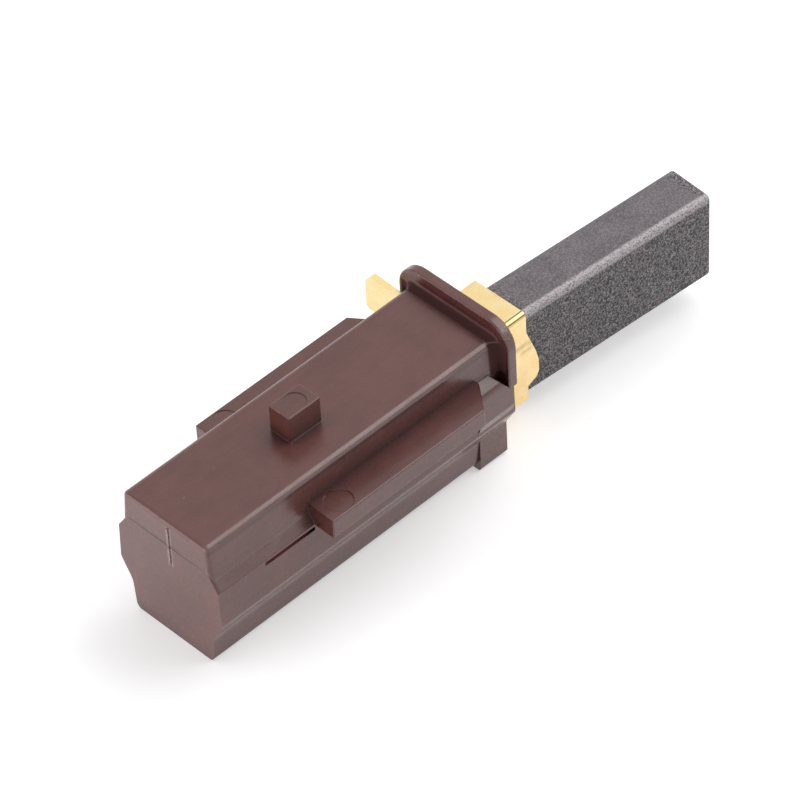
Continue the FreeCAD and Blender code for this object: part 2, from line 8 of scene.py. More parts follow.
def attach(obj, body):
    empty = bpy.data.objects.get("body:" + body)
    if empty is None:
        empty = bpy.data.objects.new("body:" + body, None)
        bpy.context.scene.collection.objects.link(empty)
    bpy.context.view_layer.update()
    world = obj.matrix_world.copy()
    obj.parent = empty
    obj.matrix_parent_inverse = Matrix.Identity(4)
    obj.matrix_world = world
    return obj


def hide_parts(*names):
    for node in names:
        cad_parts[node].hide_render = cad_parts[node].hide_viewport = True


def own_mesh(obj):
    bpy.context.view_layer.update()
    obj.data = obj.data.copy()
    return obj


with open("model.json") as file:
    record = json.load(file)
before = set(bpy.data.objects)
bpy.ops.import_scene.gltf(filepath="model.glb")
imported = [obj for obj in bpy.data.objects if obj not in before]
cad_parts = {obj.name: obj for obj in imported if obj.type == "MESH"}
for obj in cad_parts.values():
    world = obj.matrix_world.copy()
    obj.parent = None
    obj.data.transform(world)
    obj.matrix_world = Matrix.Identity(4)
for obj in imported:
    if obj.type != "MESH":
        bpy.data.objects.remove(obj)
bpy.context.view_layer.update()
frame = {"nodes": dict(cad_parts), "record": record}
record = frame["record"]

# Holder axes

# The part lies tipped on its foot, so places are given in the holder's own axes, in millimetres:
# X 0 at its rear face, Y 0 in its middle, Z 0 at its base.

MM = 0.001
MOUTH_X = 39.95
SEAT_HEIGHT = 15.5


def mount(name):
    return next(entry for entry in record["mounts"] if entry["name"] == name)


def holder_axes():
    """Matrix from holder millimetres to the frame's metres, read from the flange's mount."""
    seat = mount("flange_seat")
    forward = Vector(seat["axis"]).normalized()
    turn = Matrix.Rotation(-math.atan2(forward.z, forward.x), 4, "Y")
    start = Vector(seat["pos_m"]) - turn @ Vector((MOUTH_X, 0, SEAT_HEIGHT)) * MM
    return Matrix.Translation(start) @ turn @ Matrix.Scale(MM, 4)


HOLDER = holder_axes()
SLIDE_JOINT = record["behaviour"]["joints"][0]
SLIDE_AXIS = (HOLDER.to_3x3().inverted() @ Vector(SLIDE_JOINT["axis"])).normalized()

# Camera, worked out from the photograph's edges in the holder's axes

CAMERA_AZIMUTH = math.radians(-42.42)
CAMERA_ELEVATION = math.radians(44.741)
CAMERA_ROLL = math.radians(-3.403)
CAMERA_DISTANCE = 553.86
CAMERA_TARGET = Vector((31.555, 0.479, 8.52))
FOCAL_PIXELS = 5633.68
PICTURE_PIXELS = 800
SENSOR = 36.0
CLIP = (0.05, 10.0)


def make_camera():
    data = bpy.data.cameras.new("camera")
    camera = bpy.data.objects.new("camera", data)
    bpy.context.scene.collection.objects.link(camera)
    flat = math.cos(CAMERA_ELEVATION)
    back = Vector((math.sin(CAMERA_AZIMUTH) * flat, -math.cos(CAMERA_AZIMUTH) * flat,
                   math.sin(CAMERA_ELEVATION)))
    right = (-back).cross(Vector((0, 0, 1))).normalized()
    up = right.cross(-back)
    right_turned = math.cos(CAMERA_ROLL) * right + math.sin(CAMERA_ROLL) * up
    up_turned = -math.sin(CAMERA_ROLL) * right + math.cos(CAMERA_ROLL) * up
    place = Matrix((right_turned, up_turned, back)).transposed().to_4x4()
    place.translation = CAMERA_TARGET + back * CAMERA_DISTANCE
    location, rotation, scale = (HOLDER @ place).decompose()
    camera.matrix_world = Matrix.LocRotScale(location, rotation, Vector((1, 1, 1)))
    data.sensor_fit = "HORIZONTAL"
    data.sensor_width = SENSOR
    data.lens = FOCAL_PIXELS * SENSOR / PICTURE_PIXELS
    data.clip_start, data.clip_end = CLIP
    bpy.context.scene.camera = camera


# Node helpers

BEVEL_SAMPLES = 6
NUMBER_OPERATIONS = ("DISTANCE", "DOT_PRODUCT", "LENGTH")


def make(tree, kind, inputs=None, **settings):
    """New node. Each input is a number, a tuple, or another node's output, which is linked."""
    made = tree.nodes.new(kind)
    for key, setting in settings.items():
        setattr(made, key, setting)
    for key, given in (inputs or {}).items():
        if isinstance(given, bpy.types.NodeSocket):
            tree.links.new(given, made.inputs[key])
        else:
            made.inputs[key].default_value = given
    return made


def calculate(tree, operation, first, second=0.0, clamp=False):
    return make(tree, "ShaderNodeMath", {0: first, 1: second},
                operation=operation, use_clamp=clamp).outputs[0]


def product(tree, first, second):
    return calculate(tree, "MULTIPLY", first, second)


def greater(tree, first, second):
    return calculate(tree, "MAXIMUM", first, second)


def vector_math(tree, operation, first, second=(0.0, 0.0, 0.0)):
    """The vector that an operation gives, or its number where it gives one."""
    node = make(tree, "ShaderNodeVectorMath", {0: first, 1: second}, operation=operation)
    return node.outputs["Value" if operation in NUMBER_OPERATIONS else "Vector"]


def separate(tree, vector):
    """Outputs X, Y and Z of a vector."""
    return make(tree, "ShaderNodeSeparateXYZ", {"Vector": vector}).outputs


def fade(tree, given, low, high, to_low=0.0, to_high=1.0):
    """Smooth step from to_low at low to to_high at high. Low may be the larger of the two."""
    node = make(tree, "ShaderNodeMapRange",
                {"Value": given, "From Min": low, "From Max": high,
                 "To Min": to_low, "To Max": to_high},
                interpolation_type="SMOOTHSTEP")
    return node.outputs["Result"]


def straight_fade(tree, given, low, high):
    """Even rise from 0 at low to 1 at high."""
    node = make(tree, "ShaderNodeMapRange", {"Value": given, "From Min": low, "From Max": high})
    return node.outputs["Result"]


def ramp(tree, given, stops):
    """Grey level along a list of (place, level)."""
    node = make(tree, "ShaderNodeValToRGB", {"Fac": given})
    marks = node.color_ramp.elements
    while len(marks) < len(stops):
        marks.new(0.5)
    for mark, (place, level) in zip(marks, stops):
        mark.position = place
        mark.color = (level, level, level, 1)
    return node.outputs["Color"]


def blend(tree, share, first, second):
    """Colour between first, at share 0, and second, at share 1."""
    node = make(tree, "ShaderNodeMix", data_type="RGBA")
    for index, given in ((0, share), (6, first), (7, second)):
        if isinstance(given, bpy.types.NodeSocket):
            tree.links.new(given, node.inputs[index])
        else:
            node.inputs[index].default_value = (*given, 1) if index else given
    return node.outputs[2]


def noise(tree, spot, scale, detail=3.0, rough=0.5, skew=0.0):
    node = make(tree, "ShaderNodeTexNoise",
                {"Vector": spot, "Scale": scale, "Detail": detail, "Roughness": rough,
                 "Distortion": skew})
    return node.outputs["Fac"]


def holder_spot(tree):
    """Position on the surface in the holder's axes, in millimetres."""
    where = make(tree, "ShaderNodeTexCoord").outputs["Object"]
    location, rotation, scale = HOLDER.decompose()
    return make(tree, "ShaderNodeMapping",
                {"Vector": where, "Location": location, "Rotation": rotation.to_euler(),
                 "Scale": scale},
                vector_type="TEXTURE").outputs["Vector"]


def surface_normal(tree):
    return make(tree, "ShaderNodeNewGeometry").outputs["Normal"]


def rounded(tree, radius, share=1.0):
    """Normal that rounds sharp edges by a share of a radius in millimetres."""
    size = product(tree, share, radius * MM)
    return make(tree, "ShaderNodeBevel", {"Radius": size}, samples=BEVEL_SAMPLES).outputs["Normal"]


def edge_share(tree, radius, low, high):
    """1 along edges and 0 on flat faces, from how far the rounded normal turns away."""
    dot = vector_math(tree, "DOT_PRODUCT", surface_normal(tree), rounded(tree, radius))
    return fade(tree, dot, 1.0 - low, 1.0 - high)


def inside(tree, spot, box, soft=0.12):
    """1 between each pair of places along the holder's axes, fading over a soft edge."""
    parts = separate(tree, spot)
    share = None
    for axis, (low, high) in box.items():
        place = parts[axis]
        both = product(tree, fade(tree, place, low - soft, low + soft),
                       fade(tree, place, high + soft, high - soft))
        share = both if share is None else product(tree, share, both)
    return share


def specks(tree, spot, scale, size, share):
    """Small round spots in a share of the cells of a grid, scale cells to a millimetre."""
    cells = make(tree, "ShaderNodeTexVoronoi", {"Vector": spot, "Scale": scale, "Randomness": 1.0})
    filled = fade(tree, cells.outputs["Distance"], size * scale, size * scale * 0.5)
    red = make(tree, "ShaderNodeSeparateColor", {"Color": cells.outputs["Color"]}).outputs["Red"]
    return product(tree, filled, calculate(tree, "LESS_THAN", red, share))


def bump(tree, height, depth, normal=None):
    """Normal moved by a height of 0 to 1 that stands for a depth in millimetres."""
    node = make(tree, "ShaderNodeBump", {"Height": height, "Strength": 1.0, "Distance": depth * MM})
    if normal is not None:
        tree.links.new(normal, node.inputs["Normal"])
    return node.outputs["Normal"]


def begin(name):
    """New material, its node tree and its Principled shader."""
    material = bpy.data.materials.new(name)
    material.use_nodes = True
    tree = material.node_tree
    return material, tree, tree.nodes["Principled BSDF"]


def wire(tree, shader, **sockets):
    """Links or sets the shader's sockets, by names with _ in place of a space."""
    for key, given in sockets.items():
        socket = shader.inputs[key.replace("_", " ")]
        if isinstance(given, bpy.types.NodeSocket):
            tree.links.new(given, socket)
        else:
            socket.default_value = given


# Materials

# A noise is its scale in cells to a millimetre, detail, roughness and distortion, as far as they
# differ from noise()'s own. A _FADE is the two levels that a share fades between, and what it
# fades to where that isn't 0 and 1. A place is a box of ranges in the holder's axes, in
# millimetres, and its _SOFT is how far its edge fades.

# Phenolic

PHENOLIC_DARK = (0.108, 0.0325, 0.0262)
PHENOLIC_LIGHT = (0.141, 0.0430, 0.0350)
PHENOLIC_WEAR_AND_HIGHLIGHT = (0.24, 0.16, 0.145)
PHENOLIC_SPECK = (0.36, 0.27, 0.25)
# Colour of painted shade
PHENOLIC_SHADE = (0.050, 0.0100, 0.0080)
# Colour of painted light inside the slot
PHENOLIC_SLOT_LIGHT = (0.30, 0.085, 0.085)
PHENOLIC_IOR = 1.62
MOULD_CLOUDS = (0.22, 4.0, 0.6)
MOULD_FLOW = (0.9, 5.0, 0.6, 0.6)
MOULD_FLOW_STRETCH = (0.18, 1.1, 1.1)
CLOUD_SHARE = 0.6
TONE_FADE = (0.36, 0.64)
# Edges are rubbed on the roof and nub, above a height, and on the rails, beyond a distance
# from the middle, but not on the rear face.
RUBBED_HEIGHT = (13.6, 14.0)
RUBBED_REACH = (9.2, 9.3)
AHEAD_OF_REAR = (0.05, 0.15)
RUBBED_EDGE = {"radius": 0.16, "low": 0.1, "high": 0.28}
RUBBED_PATCHES = (1.6, 5.0, 0.7)
RUBBED_PATCHES_FADE = (0.4, 0.7)
RUBBED_SHARE = 0.45
WEAR_GRAIN = (4.5, 3.0, 0.8)
WEAR_GRAIN_FADE = (0.46, 0.62)
# Middle of each worn corner and how far its wear reaches
WORN_CORNERS = [((39.4, -6.9, 17.0), 1.3), ((39.2, 6.9, 17.0), 1.6)]
WORN_CORE = 0.4
# Painted highlight bands on both sides, with how bright they are
ROOF_EDGE_HIGHLIGHT = {"Y": (5.3, 6.0), "Z": (15.4, 15.95)}
WAIST_HIGHLIGHT = {"X": (0.4, 12.8), "Y": (6.15, 6.9), "Z": (10.5, 11.65)}
HIGHLIGHT_BANDS = [(ROOF_EDGE_HIGHLIGHT, 0.4), (WAIST_HIGHLIGHT, 0.55)]
HIGHLIGHT_SOFT = 0.08
HIGHLIGHT_FADE = (0.35, 0.6)
HIGHLIGHT_LEAST = 0.6
# Painted shade: a dark line under the roof's edge
ROOF_SHADE_LINE = {"X": (0.1, 37.6), "Y": (5.5, 6.1), "Z": (14.88, 15.28)}
ROOF_SHADE_LINE_SHARE = 0.8
# Painted shade in recesses, by how open they are to the sky
RECESS_SHADE_DEPTH = 2.5
RECESS_SHADE_SAMPLES = 8
RECESS_SHADE_FADE = (0.95, 0.4, 0.0, 0.8)
GATE = {"X": (-0.3, 0.1), "Y": (-0.72, 0.0), "Z": (9.9, 15.0)}
GATE_SOFT = 0.04
GATE_FADE = (0.0, 1.0, 0.3, 1.0)
# Cells to a millimetre, radius in millimetres and share of the cells
LARGE_DUST = (0.35, 0.11, 0.4)
FINE_DUST = (0.9, 0.05, 0.35)
DUST_SHARE = 0.7
DUST_ROUGHNESS = 0.3
# Painted light inside the slot
LIT_SLOT = {"X": (4.5, 12.3), "Y": (-6.86, -5.0), "Z": (9.6, 10.35)}
LIT_SLOT_SOFT = 0.03
# Painted shade at the flange's root: over the roof, and in the notch of each side; these places are
# also dull
SHADED_CORNERS = [{"X": (37.85, 38.75), "Z": (15.7, 16.75)},
                {"X": (37.65, 38.9), "Y": (-7.2, -5.5), "Z": (11.9, 15.7)},
                {"X": (37.65, 38.9), "Y": (5.5, 7.2), "Z": (11.9, 15.7)}]
SMUDGES = (0.5, 6.0, 0.65)
SMUDGES_ROUGHNESS = (0.3, 0.75, 0.22, 0.34)
# The rail's top looks as if it sloped down towards the wall, by this much a millimetre
RAIL_SLOPE = 0.07
RAIL_TOP = {"Z": (12.45, 12.75)}
RAIL_WALL = 6.2
RAIL_CORNER = {"Y": (5.9, 6.5), "Z": (12.3, 12.9)}
RAIL_SOFT = 0.05
# Edges are rounded above this height
ROUNDED_HEIGHT = (9.3, 9.6)
MOULD_EDGE_RADIUS = 0.1
MOULD_WAVES = (0.45, 2.0)
MOULD_WAVES_DEPTH = 0.012
MOULD_SKIN = (3.5, 4.0, 0.6)
MOULD_SKIN_DEPTH = 0.0022


def rub_and_highlight(tree, spot, mirrored, flow, grain, colour):
    """Colour with rubbed edges, worn flange corners and painted highlight bands."""
    parts = separate(tree, spot)
    across = separate(tree, mirrored)["Y"]
    handled = greater(tree, fade(tree, parts["Z"], *RUBBED_HEIGHT),
                      fade(tree, across, *RUBBED_REACH))
    handled = product(tree, handled, fade(tree, parts["X"], *AHEAD_OF_REAR))
    patches = fade(tree, noise(tree, spot, *RUBBED_PATCHES), *RUBBED_PATCHES_FADE)
    rubbed_and_lit = product(tree, product(tree, edge_share(tree, **RUBBED_EDGE), patches), handled)
    colour = blend(tree, product(tree, rubbed_and_lit, RUBBED_SHARE), colour, PHENOLIC_WEAR_AND_HIGHLIGHT)
    for middle, radius in WORN_CORNERS:
        away = vector_math(tree, "DISTANCE", spot, middle)
        near = fade(tree, away, radius, radius * WORN_CORE)
        colour = blend(tree, product(tree, near, grain), colour, PHENOLIC_WEAR_AND_HIGHLIGHT)
    # Painted highlight bands along the roof's edge and the waist
    for box, share in HIGHLIGHT_BANDS:
        highlight = product(tree, inside(tree, mirrored, box, HIGHLIGHT_SOFT),
                       fade(tree, flow, *HIGHLIGHT_FADE, share * HIGHLIGHT_LEAST, share))
        colour = blend(tree, highlight, colour, PHENOLIC_WEAR_AND_HIGHLIGHT)
    return colour


def paint_shade(tree, mirrored, colour):
    """Colour with a painted shade line under the roof's edge, and painted shade in recesses."""
    line = product(tree, inside(tree, mirrored, ROOF_SHADE_LINE), ROOF_SHADE_LINE_SHARE)
    colour = blend(tree, line, colour, PHENOLIC_SHADE)
    open_sky = make(tree, "ShaderNodeAmbientOcclusion", {"Distance": RECESS_SHADE_DEPTH * MM},
                    samples=RECESS_SHADE_SAMPLES).outputs["AO"]
    return blend(tree, fade(tree, open_sky, *RECESS_SHADE_FADE), colour, PHENOLIC_SHADE)


def mould_skin(tree, spot, mirrored):
    """Normal of the moulding: sloped rail tops, rounded edges, slight waves and a fine skin."""
    parts = separate(tree, spot)
    outward = calculate(tree, "SUBTRACT", separate(tree, mirrored)["Y"], RAIL_WALL)
    rise = product(tree, product(tree, outward, RAIL_SLOPE), inside(tree, spot, RAIL_TOP, RAIL_SOFT))
    round_share = product(tree, fade(tree, parts["X"], *AHEAD_OF_REAR),
                          fade(tree, parts["Z"], *ROUNDED_HEIGHT))
    round_share = calculate(tree, "SUBTRACT", round_share,
                            inside(tree, mirrored, RAIL_CORNER, RAIL_SOFT), clamp=True)
    sloped = bump(tree, rise, 1.0, rounded(tree, MOULD_EDGE_RADIUS, round_share))
    waves = bump(tree, noise(tree, spot, *MOULD_WAVES), MOULD_WAVES_DEPTH, sloped)
    return bump(tree, noise(tree, spot, *MOULD_SKIN), MOULD_SKIN_DEPTH, waves)


def phenolic():
    """Glossy moulded phenolic: cloudy colour, faint flow lines, dust specks and rubbed edges, with
    painted highlight bands, painted light in the slot, and painted shade in recesses and in dull
    corners."""
    material, tree, shader = begin("phenolic")
    spot = holder_spot(tree)
    mirrored = vector_math(tree, "ABSOLUTE", spot)
    flow = noise(tree, vector_math(tree, "MULTIPLY", spot, MOULD_FLOW_STRETCH), *MOULD_FLOW)
    grain = fade(tree, noise(tree, spot, *WEAR_GRAIN), *WEAR_GRAIN_FADE)
    dust = greater(tree, specks(tree, spot, *LARGE_DUST), specks(tree, spot, *FINE_DUST))
    # Painted shade at the flange's root
    shaded_corner = 0.0
    for box in SHADED_CORNERS:
        shaded_corner = greater(tree, shaded_corner, inside(tree, spot, box))

    tone = calculate(tree, "ADD", product(tree, noise(tree, spot, *MOULD_CLOUDS), CLOUD_SHARE),
                     product(tree, flow, 1 - CLOUD_SHARE))
    colour = blend(tree, fade(tree, tone, *TONE_FADE), PHENOLIC_DARK, PHENOLIC_LIGHT)
    colour = rub_and_highlight(tree, spot, mirrored, flow, grain, colour)
    colour = paint_shade(tree, mirrored, colour)
    scar = product(tree, inside(tree, spot, GATE, GATE_SOFT), fade(tree, grain, *GATE_FADE))
    colour = blend(tree, scar, colour, PHENOLIC_SPECK)
    colour = blend(tree, product(tree, dust, DUST_SHARE), colour, PHENOLIC_SPECK)
    # Painted light inside the slot
    colour = blend(tree, inside(tree, spot, LIT_SLOT, LIT_SLOT_SOFT), colour, PHENOLIC_SLOT_LIGHT)
    # Painted shade at the flange's root
    colour = blend(tree, shaded_corner, colour, PHENOLIC_SHADE)

    gloss = fade(tree, noise(tree, spot, *SMUDGES), *SMUDGES_ROUGHNESS)
    gloss = calculate(tree, "ADD", gloss, product(tree, dust, DUST_ROUGHNESS))
    gloss = greater(tree, gloss, shaded_corner)
    wire(tree, shader, Base_Color=colour, Roughness=gloss, IOR=PHENOLIC_IOR,
         Normal=mould_skin(tree, spot, mirrored))
    return material


# Brass

BRASS_LIGHT = (0.92, 0.745, 0.415)
BRASS_DEEP = (0.85, 0.635, 0.29)
BRASS_SIDE_SHADE = (0.72, 0.51, 0.245)
# Colour of stain spots, and of painted shade along the fold and at the creases
BRASS_STAIN_AND_SHADE = (0.36, 0.25, 0.08)
BRASS_SEAM = (0.17, 0.11, 0.04)
ROLLING = (1.6, 4.0, 0.7)
ROLLING_STRETCH = (0.5, 5.0, 5.0)
ROLLING_FADE = (0.55, 0.8, 0.0, 0.3)
ROLLING_DEPTH = 0.002
BRASS_CLOUDS = (0.45, 4.0, 0.6)
BRASS_CLOUDS_FADE = (0.32, 0.68)
BRASS_ROUGHNESS = (0.3, 0.7, 0.2, 0.32)
# Painted shade: upright faces are darker than faces that look up
UPRIGHT_SHADE_FADE = (0.8, 0.3, 0.0, 0.4)
BRASS_SPOTS = (0.8, 0.07, 0.3)
BRASS_SPOTS_FADE = (0.4, 0.6)
BRASS_SPOTS_SHARE = 0.6
# Painted shade along the fold
FOLD_SHADE_BOX = {"Y": (-3.7, -3.12), "Z": (12.9, 13.5)}
FOLD_SHADE_SOFT = 0.05
FOLD_SHADE_SHARE = 0.55
SEAMS = [{"X": (42.5, 45.4), "Y": (-3.13, -3.02), "Z": (13.2, 13.5)},
         {"X": (42.5, 45.4), "Y": (-3.8, -3.4), "Z": (13.12, 13.24)}]
SEAM_SOFT = 0.03
# Painted shade at the creases, in patches
SHADED_CREASES = [{"X": (43.2, 46.4), "Y": (-4.2, -3.4), "Z": (8.9, 9.5)},
           {"X": (44.3, 45.9), "Y": (-4.2, -3.4), "Z": (8.2, 8.5)}]
CREASE_SHADE_SOFT = 0.35
CREASE_SHADE_SHARE = 0.75
CREASE_SHADE_NOISE = (0.7, 1.0, 0.5)
CREASE_SHADE_NOISE_FADE = (0.3, 0.6, 0.45, 1.0)
BRASS_EDGE = {"radius": 0.1, "low": 0.05, "high": 0.3}
BRASS_EDGE_SHARE = 0.35
BRASS_EDGE_RADIUS = 0.06
BRASS_WAVES = (0.5, 2.0)
BRASS_WAVES_DEPTH = 0.02


def brass():
    """Bright rolled brass sheet: fine rolling lines, warm clouds, stain spots and thin dark seam
    lines, with painted shade on upright faces, along the fold and at the creases.
    """
    material, tree, shader = begin("brass")
    spot = holder_spot(tree)
    rolling = noise(tree, vector_math(tree, "MULTIPLY", spot, ROLLING_STRETCH), *ROLLING)
    clouds = noise(tree, spot, *BRASS_CLOUDS)
    upward = separate(tree, surface_normal(tree))["Z"]
    colour = blend(tree, fade(tree, clouds, *BRASS_CLOUDS_FADE), BRASS_LIGHT, BRASS_DEEP)
    colour = blend(tree, fade(tree, rolling, *ROLLING_FADE), colour, BRASS_DEEP)
    # Painted shade on upright faces
    colour = blend(tree, fade(tree, upward, *UPRIGHT_SHADE_FADE), colour, BRASS_SIDE_SHADE)
    spots = product(tree, specks(tree, spot, *BRASS_SPOTS), fade(tree, clouds, *BRASS_SPOTS_FADE))
    colour = blend(tree, product(tree, spots, BRASS_SPOTS_SHARE), colour, BRASS_STAIN_AND_SHADE)
    # Painted shade along the fold
    fold_shade = product(tree, inside(tree, spot, FOLD_SHADE_BOX, FOLD_SHADE_SOFT), FOLD_SHADE_SHARE)
    colour = blend(tree, fold_shade, colour, BRASS_STAIN_AND_SHADE)
    for seam in SEAMS:
        colour = blend(tree, inside(tree, spot, seam, SEAM_SOFT), colour, BRASS_SEAM)
    # Painted shade at the creases, in patches
    crease_patches = fade(tree, noise(tree, spot, *CREASE_SHADE_NOISE), *CREASE_SHADE_NOISE_FADE)
    for crease in SHADED_CREASES:
        mark = product(tree, inside(tree, spot, crease, CREASE_SHADE_SOFT), crease_patches)
        colour = blend(tree, product(tree, mark, CREASE_SHADE_SHARE), colour, BRASS_STAIN_AND_SHADE)
    edges = product(tree, edge_share(tree, **BRASS_EDGE), BRASS_EDGE_SHARE)
    colour = blend(tree, edges, colour, BRASS_DEEP)
    waves = bump(tree, noise(tree, spot, *BRASS_WAVES), BRASS_WAVES_DEPTH,
                 rounded(tree, BRASS_EDGE_RADIUS))
    wire(tree, shader, Base_Color=colour, Metallic=1.0,
         Roughness=fade(tree, clouds, *BRASS_ROUGHNESS),
         Normal=bump(tree, rolling, ROLLING_DEPTH, waves))
    return material


# Carbon

CARBON_BODY = (0.150, 0.130, 0.142)
CARBON_CLOUD = (0.190, 0.166, 0.180)
# Colour of painted shade on the sides
CARBON_SIDE_SHADE = (0.125, 0.108, 0.114)
CARBON_PIT = (0.006, 0.006, 0.006)
CARBON_GLINT = (0.58, 0.52, 0.54)
CARBON_IOR = 1.45
CARBON_COARSE = (3.2, 2.0, 0.6)
CARBON_COARSE_DEPTH = 0.10
CARBON_FINE = (6.0, 2.0, 0.7)
CARBON_FINE_STRETCH = (1.0, 1.0, 1.15)
CARBON_FINE_DEPTH = 0.05
CARBON_CLOUDS = (0.35, 3.0, 0.6)
CARBON_CLOUDS_FADE = (0.35, 0.65)
# The grain is weak on the top face, full on the sides and strong at both ends
COARSENESS_FADE = (0.95, 0.6, 0.3, 1.0)
# Painted shade on the sides, by how much a face looks up
SIDE_SHADE_FADE = (0.9, 0.6)
CARBON_REAR = (49.0, 44.5, 0.0, 0.8)
CARBON_TIP = (69.3, 70.3, 0.0, 0.8)
# A point of the near top edge, and the distances from that edge where its painted highlight band
# fades
HIGHLIGHT_BAND_POINT = (0.13, -0.557, 13.294)
HIGHLIGHT_BAND_REACH = (0.9, 0.5)
HIGHLIGHT_BAND_GRAIN_FADE = (0.38, 0.52, 0.25, 1.0)
GLINTS_FADE = (0.50, 0.64)
GLINTS_SHARE = 0.6
COARSE_PITS_FADE = (0.48, 0.41)
FINE_PITS_FADE = (0.47, 0.39)
CARBON_ROUGHNESS = (0.4, 0.62, 0.6, 0.42)


def highlight_band_share(tree, spot, fine):
    """Share of the painted highlight band along the carbon's near top edge."""
    out = vector_math(tree, "SUBTRACT", spot, HIGHLIGHT_BAND_POINT)
    off = vector_math(tree, "CROSS_PRODUCT", out, SLIDE_AXIS)
    rubbed_and_lit = fade(tree, vector_math(tree, "LENGTH", off), *HIGHLIGHT_BAND_REACH)
    return product(tree, rubbed_and_lit, fade(tree, fine, *HIGHLIGHT_BAND_GRAIN_FADE))


def carbon():
    """Pressed electrographite: dense speckle of dark pits and bright grains, rougher on the sides
    than on top, with painted shade on the sides and a painted highlight band along the near top
    edge."""
    material, tree, shader = begin("carbon")
    spot = holder_spot(tree)
    coarse = noise(tree, spot, *CARBON_COARSE)
    fine = noise(tree, vector_math(tree, "MULTIPLY", spot, CARBON_FINE_STRETCH), *CARBON_FINE)
    clouds = noise(tree, spot, *CARBON_CLOUDS)
    upward = separate(tree, surface_normal(tree))["Z"]
    along = separate(tree, spot)["X"]
    ends = greater(tree, fade(tree, along, *CARBON_REAR), fade(tree, along, *CARBON_TIP))
    coarseness = greater(tree, fade(tree, upward, *COARSENESS_FADE), ends)

    colour = blend(tree, fade(tree, clouds, *CARBON_CLOUDS_FADE), CARBON_BODY, CARBON_CLOUD)
    # Painted shade on the sides
    colour = blend(tree, fade(tree, upward, *SIDE_SHADE_FADE), colour, CARBON_SIDE_SHADE)
    glints = product(tree, fade(tree, fine, *GLINTS_FADE), coarseness)
    colour = blend(tree, product(tree, glints, GLINTS_SHARE), colour, CARBON_GLINT)
    pits = greater(tree, fade(tree, coarse, *COARSE_PITS_FADE), fade(tree, fine, *FINE_PITS_FADE))
    colour = blend(tree, product(tree, pits, coarseness), colour, CARBON_PIT)
    # Painted highlight band along the near top edge
    colour = blend(tree, highlight_band_share(tree, spot, fine), colour, CARBON_GLINT)

    grain = bump(tree, product(tree, coarse, coarseness), CARBON_COARSE_DEPTH)
    skin = bump(tree, product(tree, fine, coarseness), CARBON_FINE_DEPTH, grain)
    wire(tree, shader, Base_Color=colour, Roughness=fade(tree, fine, *CARBON_ROUGHNESS),
         IOR=CARBON_IOR, Normal=skin)
    return material


# Metals of the hidden pieces

# Name, light and dark colour, least roughness and scale of the grain
COPPER_POWDER = ("copper_powder", (0.62, 0.30, 0.18), (0.30, 0.13, 0.08), 0.5, 5.0)
BRAIDED_COPPER = ("braided_copper", (0.80, 0.42, 0.27), (0.36, 0.16, 0.09), 0.35, 4.0)
SOLDER = ("solder", (0.62, 0.62, 0.60), (0.36, 0.36, 0.35), 0.3, 2.0)
SPRING_STEEL = ("spring_steel", (0.58, 0.57, 0.56), (0.34, 0.33, 0.33), 0.22, 3.0)
# Detail and roughness of the grain's noise
METAL_GRAIN = (4.0, 0.6)
METAL_GRAIN_STRETCH = (1.0, 3.0, 3.0)
METAL_GRAIN_FADE = (0.35, 0.65)
METAL_GRAIN_DEPTH = 0.006
METAL_ROUGHNESS_FADE = (0.3, 0.7)
METAL_ROUGHNESS_RISE = 0.12


def hidden_metal(name, light, dark, rough, grain_scale):
    """Metal with drawing lines or braid grain."""
    material, tree, shader = begin(name)
    drawn = vector_math(tree, "MULTIPLY", holder_spot(tree), METAL_GRAIN_STRETCH)
    grain = noise(tree, drawn, grain_scale, *METAL_GRAIN)
    colour = blend(tree, fade(tree, grain, *METAL_GRAIN_FADE), dark, light)
    gloss = fade(tree, grain, *METAL_ROUGHNESS_FADE, rough, rough + METAL_ROUGHNESS_RISE)
    wire(tree, shader, Base_Color=colour, Metallic=1.0, Roughness=gloss,
         Normal=bump(tree, grain, METAL_GRAIN_DEPTH))
    return material


# Spring and lead

# They hide in the holder and in the real part shorten as the carbon slides in; here they are built
# along the holder's X axis.

SPRING_AXIS = (0.36, 7.4)
SPRING_REAR = 2.13
SPRING_FRONT = 33.3
COIL_RADIUS = 2.3
WIRE_RADIUS = 0.35
COIL_TURNS = 10
COIL_STEPS = 40
WIRE_SIDES = 12
CLOSED_RISE = 0.73
LEAD_REAR = 1.63
LEAD_FRONT = 37.4
LEAD_RADIUS = 0.62
STRANDS = 7
STRAND_RADIUS = 0.16
STRAND_SIDES = 6
STRAND_PITCH = 4.5
WEAVE = 0.05
LEAD_STEPS = 220
# Waves of the lead between its ends: place along X, then offsets to the side and upwards
LEAD_WAVES = [(LEAD_REAR, 0.0, 0.0), (6.0, 0.0, 0.05), (10.5, 0.2, 0.45), (15.5, -0.15, -0.3),
              (21.0, 0.1, 0.4)]
# From here on the lead lies along the carbon's own axis, so that it keeps clear of the bore's wall
LEAD_STRAIGHT = 27.0
BORE_POINT = Vector((37.51, 0.113, 7.372))


